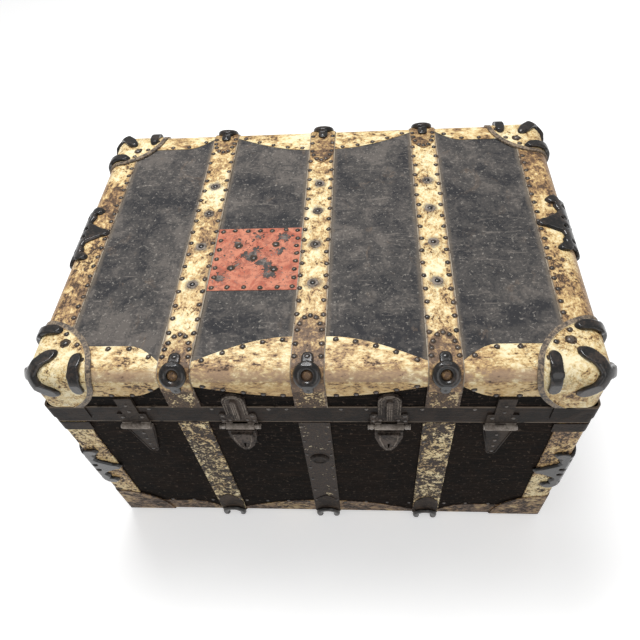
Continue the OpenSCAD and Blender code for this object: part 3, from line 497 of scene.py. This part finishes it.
NODE_FINISH = {
    "front_board": pine, "back_board": pine, "left_end_board": pine, "right_end_board": pine,
    "bottom_board": pine, "lid_top_board": pine, "lid_front_rail": pine, "lid_back_rail": pine,
    "lid_left_rail": pine, "lid_right_rail": pine, "bottom_runners": slat,
    "body_covering": sheet_body, "lid_covering": sheet_lid, "body_lining": lining,
    "lid_lining": lining, "bottom_binding": foot_paint, "bottom_corner_caps": foot_paint,
    "body_corner_bands": corner_paint, "front_bands": body_paint, "back_bands": body_paint,
    "front_binding": ridge_paint, "back_binding": ridge_paint, "side_bindings": side_paint,
    "lid_bands": top_paint, "corner_covers": cover_paint, "repair_patch": patch_red,
    "valance": valance_steel, "valance_corner_wraps": valance_steel,
    "rim_corner_plates": dark_steel, "foot_plates": foot_steel, "foot_clamps": iron,
    "clamp_plates": plate_paint, "lock_base_plates": dark_steel, "lock_lid_plates": lock_steel,
    "strap_lid_leaves": strap_steel, "left_strap_hasp": strap_steel, "right_strap_hasp": strap_steel,
    "left_lock_hasp": lock_steel, "right_lock_hasp": lock_steel, "lock_pins": worn_steel,
    "strap_pins": worn_steel, "hinge_pins": worn_steel, "hinge_lid_leaves": iron,
    "hinge_body_leaves": iron, "left_handle_brackets": iron, "right_handle_brackets": iron,
    "left_handle": hide, "right_handle": hide, "lid_band_rivets": iron, "clamp_rivets": iron,
    "front_boss": dark_steel, "corner_bumpers": iron, "corner_edge_clamps": iron,
    "front_ring_clamps": iron, "back_ring_clamps": iron, "side_scroll_clamps": iron,
    "corner_scroll_clamps": iron,
}
for node_name, finish in NODE_FINISH.items():
    nodes[node_name].data.materials.clear()
    nodes[node_name].data.materials.append(finish)


def linked(name, mesh, finish, body):
    """An object in the scene that rides on a body and takes a finish."""
    made = bpy.data.objects.new(name, mesh)
    bpy.context.scene.collection.objects.link(made)
    mesh.materials.clear()
    mesh.materials.append(finish)
    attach(made, body)
    return made


def from_bmesh(name, bm, finish, body, smooth=True):
    """Turns what was built in bm into an object of the scene."""
    for face in bm.faces:
        face.smooth = smooth
    mesh = bpy.data.meshes.new(name)
    bm.to_mesh(mesh)
    bm.free()
    return linked(name, mesh, finish, body)


def surface_of(*names):
    """A tree of the CAD nodes' faces, to set small pieces down on."""
    points, faces = [], []
    for name in names:
        mesh = nodes[name].data
        start = len(points)
        points += [v.co.copy() for v in mesh.vertices]
        faces += [[start + i for i in p.vertices] for p in mesh.polygons]
    return BVHTree.FromPolygons(points, faces)


# Castings: the solid's shape with its edges rounded off by wear, and its old thickness kept
def cast_piece(name, node, voxel, passes, fullness, finish):
    shape = bpy.data.objects.new(name + "_shape", nodes[node].data.copy())
    bpy.context.scene.collection.objects.link(shape)
    grain = shape.modifiers.new("skin", "REMESH")
    grain.mode = "VOXEL"
    grain.voxel_size = voxel
    wear = shape.modifiers.new("wear", "SMOOTH")
    wear.factor = 0.6
    wear.iterations = passes
    swell = shape.modifiers.new("swell", "DISPLACE")
    swell.strength = fullness
    swell.mid_level = 0.0
    depsgraph = bpy.context.evaluated_depsgraph_get()
    mesh = bpy.data.meshes.new_from_object(shape.evaluated_get(depsgraph))
    bpy.data.objects.remove(shape)
    mesh.name = name
    lowest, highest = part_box(node)
    for vert in mesh.vertices:
        vert.co = [min(max(c, low), high) for c, low, high in zip(vert.co, lowest, highest)]
    for polygon in mesh.polygons:
        polygon.use_smooth = True
    body = nodes[node]["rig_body"]
    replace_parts(linked(name, mesh, finish, body), node)


# Each casting: its name, its node, the voxel and then the passes of smoothing, and the swelling;
# the voxel and the swelling are in millimetres
CASTINGS = (
    ("corner_bumper_castings", "corner_bumpers", 1.1, 10, 1.9),
    ("edge_clamp_castings", "corner_edge_clamps", 1.0, 9, 1.3),
    ("front_ring_castings", "front_ring_clamps", 0.9, 5, 1.2),
    ("back_ring_castings", "back_ring_clamps", 0.9, 5, 1.2),
    ("side_scroll_castings", "side_scroll_clamps", 1.0, 8, 0.9),
    ("corner_scroll_castings", "corner_scroll_clamps", 1.1, 8, 0.9),
    ("foot_clamp_castings", "foot_clamps", 1.0, 5, 0.7),
)


# Nails: small domes set down on the surface, most of them on a dark ring of rust
def dome_mesh(segments=10, rings=6):
    """Half a sphere of radius 1, open below."""
    bm = bmesh.new()
    bmesh.ops.create_uvsphere(bm, u_segments=segments, v_segments=rings, radius=1)
    parts = bm.verts[:] + bm.edges[:] + bm.faces[:]
    bmesh.ops.bisect_plane(bm, geom=parts, plane_co=(0, 0, -0.02), plane_no=(0, 0, 1), clear_inner=True)
    mesh = bpy.data.meshes.new("dome")
    bm.to_mesh(mesh)
    bm.free()
    return mesh


DOME = dome_mesh()
CAST_FROM = 30 * MM
CAST_REACH = 80 * MM
RUST_LIFT = 0.12 * MM


class Nails:
    """A set of nails of one body, gathered in one mesh, with the rust rings under them in another."""

    def __init__(self, surface, finish=None):
        self.surface = surface
        self.finish = finish or nail_iron
        self.heads = bmesh.new()
        self.rings = bmesh.new()

    def put(self, point, outward, radius=NAIL_R, height=NAIL_H, ring=RUST_SPREAD):
        """Casts a ray inward past the point, and sets a nail where the surface is met."""
        outward = Vector(outward).normalized()
        start = Vector(point) + outward * CAST_FROM
        hit, normal, _, _ = self.surface.ray_cast(start, -outward, CAST_REACH)
        if hit is None:
            return
        if normal.dot(outward) < 0:
            normal = -normal
        turn = normal.to_track_quat("Z", "Y").to_matrix().to_4x4()
        spin = Matrix.Rotation(draw.uniform(0, math.tau), 4, "Z")
        size = draw.uniform(0.9, 1.1)
        scale = Matrix.Diagonal((radius * size, radius * size, height * size, 1))
        before = len(self.heads.verts)
        self.heads.from_mesh(DOME)
        self.heads.verts.ensure_lookup_table()
        place = Matrix.Translation(hit) @ turn @ spin @ scale
        bmesh.ops.transform(self.heads, matrix=place, verts=self.heads.verts[before:])
        if ring:
            self.ring(Matrix.Translation(hit + normal * RUST_LIFT) @ turn @ spin, radius * ring)

    def ring(self, place, radius):
        """An uneven flat stain of rust."""
        made = bmesh.ops.create_circle(self.rings, cap_ends=True, segments=14, radius=radius, matrix=place)
        centre = place.to_translation()
        for vert in made["verts"]:
            vert.co = centre + (vert.co - centre) * draw.uniform(0.85, 1.12)

    def row(self, start, end, pitch, outward, jitter=1.2 * MM, **sizes):
        """Nails about a pitch apart from start to end, each a little out of line."""
        start, end = Vector(start), Vector(end)
        count = max(1, round((end - start).length / pitch))
        for i in range(count + 1):
            point = start.lerp(end, i / count)
            shake = Vector([draw.uniform(-jitter, jitter) for _ in range(3)])
            self.put(point + shake, outward, **sizes)

    def done(self, name, body):
        from_bmesh(name + "_nails", self.heads, self.finish, body)
        if self.rings.faces:
            from_bmesh(name + "_nail_rust", self.rings, rust, body, smooth=False)


def rust_finish():
    """Dull brown of the stains round the nails."""
    f = Finish("nail_rust", Roughness=0.75, Specular_IOR_Level=0.2)
    f.drive("Base Color", f.mix(f.noise(400, 4).step(0.4, 0.6), colour(52, 42, 34), colour(88, 72, 58)))
    return f.material


rust = rust_finish()
UP = (0, 0, 1)
FRONT = (0, -1, 0)


def scallop(x, narrow, corner, middle):
    """Width of a scalloped binding at x, as the bindings are cut."""
    outer, inner = band_x + BAND_W / 2, band_x - BAND_W / 2
    a = abs(x)
    if a > outer:
        return narrow + (corner - narrow) * math.sin(math.pi / 2 * min(1, (a - outer) / SCALLOP_RUN))
    if a > inner:
        return narrow
    return narrow + (middle - narrow) * math.sin(math.pi / 2 * min(1, (inner - a) / (inner - BAND_W / 2)))


def plate_length(x):
    """Length of the pointed plate at each end of the band at x."""
    return MIDDLE_PLATE_LEN if x == 0 else PLATE_LEN


def open_spans(corner_reach):
    """Where one half of a long side is free of bands and corner pieces, as pairs of x."""
    return (BAND_W / 2, band_x - BAND_W / 2), (band_x + BAND_W / 2, half_w - corner_reach)


def lid_nails():
    """All nails of the lid: its bands and side bindings first, then the other sheets."""
    sheets = ("lid_covering", "front_binding", "back_binding", "side_bindings", "lid_bands",
              "corner_covers", "clamp_plates", "repair_patch", "valance", "valance_corner_wraps")
    nails = Nails(surface_of(*sheets))
    for x in BANDS:
        end = half_d - plate_length(x) + 4 * MM
        for side in SIDES:
            edge = x + side * (BAND_W / 2 - NAIL_IN)
            nails.row((edge, -end, top_z), (edge, end, top_z), BAND_PITCH, UP)
    reach = half_d - COVER_REACH - 6 * MM
    low = top_z - SIDE_DROP + 5 * MM
    for side in SIDES:
        edge = side * (side_inner + 5.5 * MM)
        nails.row((edge, -reach, top_z), (edge, reach, top_z), SIDE_TOP_PITCH, UP)
        nails.row((side * half_w, -reach, low), (side * half_w, reach, low), SIDE_LOW_PITCH, (side, 0, 0))
    binding_nails(nails)
    plate_nails(nails)
    cover_nails(nails)
    patch_nails(nails)
    valance_nails(nails)
    nails.done("lid", "lid")


def binding_nails(nails):
    """Nails that follow the scalloped edges of the long bindings, on the top and on the drop."""
    for near, far in open_spans(COVER_REACH):
        count = round((far - near) / BINDING_PITCH)
        for i in range(count):
            x = near + (far - near) * (i + 0.5) / count
            top_in = scallop(x, *TOP_WIDTHS) - NAIL_IN
            low_in = scallop(x, *DROP_WIDTHS) - NAIL_IN
            for side in SIDES:
                for back in SIDES:
                    nails.put((side * x, back * (half_d - top_in), top_z), UP)
                    nails.put((side * x, back * half_d, top_z - low_in), (0, back, 0))


TIP_STEPS = 3.2


def plate_nails(nails):
    """Nails round the curved tip of each pointed plate and along its straight edges."""
    half = BAND_W / 2 - 5 * MM
    for x in BANDS:
        length = plate_length(x)
        for back in SIDES:
            nails.put((x, back * (half_d - length + 7 * MM), top_z), UP)
            for side in SIDES:
                for i in range(1, 4):
                    along = length - PLATE_TIP * i / TIP_STEPS
                    out = half * math.sin(math.pi / 2 * i / TIP_STEPS) * 0.95
                    nails.put((x + side * out, back * (half_d - along), top_z), UP)
                if x == 0:
                    nails.put((x + side * half, back * (half_d - 48 * MM), top_z), UP)
                nails.put((x + side * half, back * (half_d - 28 * MM), top_z), UP)


COVER_NAIL_ANGLES = (18, 38, 58, 76)
COVER_NAIL_ARC = COVER_REACH - 13 * MM
STUD_IN_X = 45 * MM
STUD_IN_Y = 52 * MM


def cover_nails(nails):
    """An arc of nails inside the roll of each corner cover, and one large stud."""
    for side in SIDES:
        for back in SIDES:
            for angle in COVER_NAIL_ANGLES:
                a = math.radians(angle)
                in_x, in_y = COVER_NAIL_ARC * math.cos(a), COVER_NAIL_ARC * math.sin(a)
                nails.put((side * (half_w - in_x), back * (half_d - in_y), top_z), UP)
            nails.put((side * (half_w - STUD_IN_X), back * (half_d - STUD_IN_Y), top_z), UP,
                      radius=5.5 * MM, height=2.6 * MM)


# Nails through the middle of the patch, as shares of its width and depth
LOOSE_NAILS = ((0.25, 0.72), (0.73, 0.74), (0.47, 0.50), (0.20, 0.33), (0.74, 0.30))


def patch_nails(nails):
    """Nails round the edge of the patch at steps given for each side, and a few larger ones in its middle.
    """
    low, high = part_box("repair_patch")
    x0, x1 = low.x + 6 * MM, high.x - 6 * MM
    y0, y1 = low.y + 5 * MM, high.y - 5 * MM
    nails.row((x0, y1, top_z), (x1, y1, top_z), 19 * MM, UP)
    nails.row((x0, y0, top_z), (x1, y0, top_z), 23 * MM, UP)
    nails.row((x0, y0 + 20 * MM, top_z), (x0, y1 - 20 * MM, top_z), 22 * MM, UP)
    nails.row((x1, y0 + 18 * MM, top_z), (x1, y1 - 18 * MM, top_z), 18 * MM, UP)
    width, depth = x1 - x0, y1 - y0
    for across, along in LOOSE_NAILS:
        nails.put((x0 + width * across, y0 + depth * along, top_z), UP, radius=4.2 * MM, ring=1.5)


# Nails of the valance, in millimetres along the front
VALANCE_NAILS = (-230, -140, -60, -35, 40, 75, 150, 220)


def valance_nails(nails):
    top = valance_high.z - 5 * MM
    for x in VALANCE_NAILS:
        nails.put((x * MM, -half_d, top), FRONT, ring=0)


def body_nails():
    """Nails down the bands of both long walls and along the top edge of the bottom binding."""
    sheets = ("body_covering", "bottom_binding", "bottom_corner_caps", "body_corner_bands",
              "front_bands", "back_bands", "rim_corner_plates")
    nails = Nails(surface_of(*sheets))
    band_foot, band_top = base_z + 14 * MM, valance_low.z - 14 * MM
    high = bottom_bind_top - NAIL_IN
    for back in SIDES:
        outward = (0, back, 0)
        y = back * half_d
        for x in BANDS:
            for side in SIDES:
                edge = x + side * (BAND_W / 2 - NAIL_IN)
                nails.row((edge, y, band_foot), (edge, y, band_top), WALL_BAND_PITCH, outward,
                          radius=2.6 * MM, ring=0)
        for near, far in open_spans(CAP_REACH):
            for side in SIDES:
                start, end = side * (near + 10 * MM), side * (far - 8 * MM)
                nails.row((start, y, high), (end, y, high), FOOT_PITCH, outward, ring=0)
    nails.done("body", "body")


# Small raised work on the hasps: ribs, ridges, barrels and rivets
def bar(bm, start, end, radius, segments=10):
    """A round rib with domed ends between two points."""
    start, end = Vector(start), Vector(end)
    run = end - start
    turn = run.to_track_quat("Z", "Y").to_matrix().to_4x4()
    middle = Matrix.Translation((start + end) / 2) @ turn
    bmesh.ops.create_cone(bm, cap_ends=True, segments=segments, radius1=radius, radius2=radius,
                          depth=run.length, matrix=middle)
    for point in (start, end):
        bmesh.ops.create_uvsphere(bm, u_segments=segments, v_segments=6, radius=radius,
                                  matrix=Matrix.Translation(point) @ turn)


RIB_SIDES = 8


def path_bars(bm, points, radius):
    """Ribs from each point to the next."""
    for start, end in zip(points, points[1:]):
        bar(bm, start, end, radius, RIB_SIDES)


def arch(bm, x, y, low, high, half, radius):
    """A round rib that runs up, over in a half circle, and down again."""
    turns = 10
    crown = high - half
    points = [(x - half, y, low), (x - half, y, crown)]
    for i in range(1, turns):
        a = math.pi * i / turns
        points.append((x - half * math.cos(a), y, crown + half * math.sin(a)))
    points += [(x + half, y, crown), (x + half, y, low)]
    path_bars(bm, points, radius)


LOCK_X = 106 * MM
STRAP_X = 259 * MM
HASP_GAP = 0.4 * MM
LEAF_T = 2.4 * MM
PIN_Y = -274.5 * MM
CUP_BACK = 2.4 * MM
CUP_T = 11 * MM
LOCK_ARCH_HALF = 16 * MM
TONGUE_OUT = 3.9 * MM
BARREL_IN = 24 * MM
BARREL_OUT = 25.5 * MM
plate_face = valance_low.y - LEAF_T
cup_face = body_low.y - CUP_BACK - CUP_T
strap_face = body_low.y - HASP_GAP - LEAF_T

# Half outlines and rivets of the hasps, in millimetres: out from the middle, and up or down from the pin
CUP_OUTLINE = ((12.5, -16.5), (12.5, -28), (6.8, -49), (2.5, -56.5))
STRAP_OUTLINE = ((19, -7), (19, -15.5), (6.2, -80), (3.2, -86.5), (0, -88))
STRAP_RIVETS = ((-9, 12), (9, 12), (0, 30), (0, 47), (0, 64), (0, 80))


def lock_plate_work():
    """Arched ridges, a ribbed tongue, and the thick barrels at the ends of the lock pins."""
    ridges, barrels = bmesh.new(), bmesh.new()
    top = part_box("lock_lid_plates")[1].z
    tongue_y = plate_face - TONGUE_OUT
    tongue_foot, tongue_top = valance_low.z + 17 * MM, top - 15 * MM
    for side in SIDES:
        x = side * LOCK_X
        for inset in (1.6 * MM, 5 * MM):
            arch(ridges, x, plate_face, valance_low.z + 25 * MM, top - inset, LOCK_ARCH_HALF - inset,
                 0.9 * MM)
        for across in (-2.7 * MM, 0, 2.7 * MM):
            rib_x = x + across
            bar(ridges, (rib_x, tongue_y, tongue_foot), (rib_x, tongue_y, tongue_top), 0.8 * MM, RIB_SIDES)
        for end in SIDES:
            inner, outer = x + end * BARREL_IN, x + end * BARREL_OUT
            bar(barrels, (inner, PIN_Y, PIN_Z), (outer, PIN_Y, PIN_Z), 4 * MM, 16)
    from_bmesh("lock_plate_ridges", ridges, leaf_steel, "lid")
    from_bmesh("lock_pin_barrels", barrels, worn_steel, "lid")


def edge_ribs(x, face, outline, radius):
    """Ribs along both halves of the outline of a hasp that hangs at x."""
    ribs = bmesh.new()
    for end in SIDES:
        points = [(x + end * out * MM, face, PIN_Z + up * MM) for out, up in outline]
        path_bars(ribs, points, radius)
    return ribs


def hasp_work(side, name):
    """Raised ribs that follow the outline of a lock hasp's cup."""
    ribs = edge_ribs(side * LOCK_X, cup_face, CUP_OUTLINE, 1.0 * MM)
    from_bmesh(name + "_ribs", ribs, leaf_steel, name)


def strap_work(side, name):
    """A bead round the edge of a strap hasp, and the rivets down its middle."""
    bead = edge_ribs(side * STRAP_X, strap_face, STRAP_OUTLINE, 0.9 * MM)
    from_bmesh(name + "_bead", bead, dark_steel, name)
    rivets = Nails(surface_of(name))
    for out, drop in STRAP_RIVETS:
        place = (side * STRAP_X + out * MM, strap_face, PIN_Z - drop * MM)
        rivets.put(place, FRONT, radius=2.6 * MM, height=1.4 * MM, ring=0)
    rivets.done(name, name)


def leaf_rivets():
    """Rivets of the lock plates and of the strap hasps' leaves."""
    rivets = Nails(surface_of("lock_lid_plates", "strap_lid_leaves"))
    for side in SIDES:
        for end in SIDES:
            for across, up in ((21, 21), (22, 8), (12.5, 10)):
                place = (side * LOCK_X + end * across * MM, plate_face, valance_low.z + up * MM)
                rivets.put(place, FRONT, radius=2.8 * MM, height=1.6 * MM, ring=0)
            place = (side * STRAP_X + end * 14 * MM, plate_face, valance_low.z + 17 * MM)
            rivets.put(place, FRONT, height=1.8 * MM, ring=0)
        for up in (32, 48):
            place = (side * STRAP_X, plate_face, valance_low.z + up * MM)
            rivets.put(place, FRONT, radius=2.6 * MM, height=1.4 * MM, ring=0)
    rivets.done("leaf", "lid")


def ring_domes():
    """The painted boss that shows through each ring clamp."""
    domes = Nails(surface_of("clamp_plates"), plate_paint)
    in_edge = (EDGE_R + PLATE_RISE) * (1 - math.sqrt(0.5))
    for x in BANDS:
        for back in SIDES:
            place = (x, back * (half_d - in_edge), top_z - in_edge)
            domes.put(place, (0, back, 1), radius=8 * MM, height=4.5 * MM, ring=0)
    domes.done("ring_dome", "lid")


WASHER_T = 0.8 * MM


def rivet_washers():
    """A low cone under each large rivet of the lid's bands."""
    washers = bmesh.new()
    band_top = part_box("lid_bands")[1].z
    for x in BANDS:
        for row in RIVET_ROWS:
            place = Matrix.Translation((x, row, band_top + WASHER_T / 2))
            bmesh.ops.create_cone(washers, cap_ends=True, segments=24, radius1=8.2 * MM,
                                  radius2=7.2 * MM, depth=WASHER_T, matrix=place)
    from_bmesh("rivet_washers", washers, leaf_steel, "lid", smooth=False)


# The order below sets the order of the random draws
for name, node, voxel, passes, fullness in CASTINGS:
    cast_piece(name, node, voxel * MM, passes, fullness * MM, iron)
lock_plate_work()
for side, name in zip(SIDES, ("left_lock_hasp", "right_lock_hasp")):
    hasp_work(side, name)
for side, name in zip(SIDES, ("left_strap_hasp", "right_strap_hasp")):
    strap_work(side, name)
leaf_rivets()
ring_domes()
rivet_washers()
lid_nails()
body_nails()


# Floor, light and camera
FLOOR_GLOW = 0.42
FLOOR_GREY = 0.86
FLOOR_SIZE = 12
FLOOR_DROP = 0.2 * MM
WORLD_FILL = 0.45
LAMP_TARGET = (0, 0, 0.3)


def stage_floor():
    """A pale floor that the camera also sees glow, so that it comes out nearly white."""
    bm = bmesh.new()
    bmesh.ops.create_grid(bm, x_segments=1, y_segments=1, size=FLOOR_SIZE)
    bmesh.ops.translate(bm, verts=bm.verts, vec=(0, 0, -FLOOR_DROP))
    mesh = bpy.data.meshes.new("floor")
    bm.to_mesh(mesh)
    bm.free()
    floor = bpy.data.objects.new("floor", mesh)
    bpy.context.scene.collection.objects.link(floor)
    f = Finish("floor", Roughness=0.9)
    f.shader.inputs["Base Color"].default_value = (FLOOR_GREY, FLOOR_GREY, FLOOR_GREY, 1)
    f.shader.inputs["Emission Strength"].default_value = 1.0
    rays = f.node("ShaderNodeLightPath", {}, {}, "Is Camera Ray")
    glossy = Value(f, rays.socket.node.outputs["Is Glossy Ray"])
    through = Value(f, rays.socket.node.outputs["Is Transmission Ray"])
    seen = rays.most(glossy).most(through)
    f.drive("Emission Color", f.mix(seen, (0, 0, 0, 1), (FLOOR_GLOW, FLOOR_GLOW, FLOOR_GLOW, 1)))
    mesh.materials.append(f.material)


def stage_world():
    """White all round for the camera, and a weaker white fill for everything else."""
    world = bpy.data.worlds.new("studio")
    bpy.context.scene.world = world
    world.use_nodes = True
    tree = world.node_tree
    background = tree.nodes["Background"]
    background.inputs["Color"].default_value = (1, 1, 1, 1)
    rays = tree.nodes.new("ShaderNodeLightPath")
    seen = tree.nodes.new("ShaderNodeMath")
    seen.operation = "MAXIMUM"
    tree.links.new(rays.outputs["Is Camera Ray"], seen.inputs[0])
    tree.links.new(rays.outputs["Is Transmission Ray"], seen.inputs[1])
    level = tree.nodes.new("ShaderNodeMapRange")
    level.inputs["To Min"].default_value = WORLD_FILL
    level.inputs["To Max"].default_value = 1.0
    tree.links.new(seen.outputs[0], level.inputs["Value"])
    tree.links.new(level.outputs[0], background.inputs["Strength"])


def lamp(name, power, size, place, target):
    """A rectangular lamp at a place, turned to a target."""
    light = bpy.data.lights.new(name, "AREA")
    light.energy = power
    light.shape = "RECTANGLE"
    light.size, light.size_y = size
    made = bpy.data.objects.new(name, light)
    bpy.context.scene.collection.objects.link(made)
    made.location = place
    made.rotation_mode = "QUATERNION"
    made.rotation_quaternion = (Vector(target) - Vector(place)).to_track_quat("-Z", "Y")


# The camera as solved from the photo's edges: metres, degrees and a lens in millimetres
CAMERA_PLACE = (0.0823, -0.6856, 1.1039)
CAMERA_PITCH = 51.2
CAMERA_YAW = -7.76
CAMERA_ROLL = 6.67
CAMERA_LENS = 33.81


def stage_camera():
    pitch, yaw, roll = (math.radians(a) for a in (CAMERA_PITCH, CAMERA_YAW, CAMERA_ROLL))
    ahead = Vector((math.sin(yaw) * math.cos(pitch), math.cos(yaw) * math.cos(pitch), -math.sin(pitch)))
    level = Vector((math.cos(yaw), -math.sin(yaw), 0))
    fall = ahead.cross(level)
    right = level * math.cos(roll) + fall * math.sin(roll)
    down = fall * math.cos(roll) - level * math.sin(roll)
    data = bpy.data.cameras.new("camera")
    data.sensor_width = 36
    data.lens = CAMERA_LENS
    data.clip_start = 0.01
    made = bpy.data.objects.new("camera", data)
    bpy.context.scene.collection.objects.link(made)
    turn = Matrix((right, -down, -ahead)).transposed().to_4x4()
    made.matrix_world = Matrix.Translation(CAMERA_PLACE) @ turn
    bpy.context.scene.camera = made


stage_floor()
stage_world()
lamp("overhead", power=40, size=(1.1, 0.7), place=(-0.3, 0.5, 2.4), target=LAMP_TARGET)
lamp("front", power=8, size=(1.8, 1.2), place=(0.9, -2.0, 1.5), target=LAMP_TARGET)
stage_camera()
bpy.context.scene.view_settings.view_transform = "Standard"
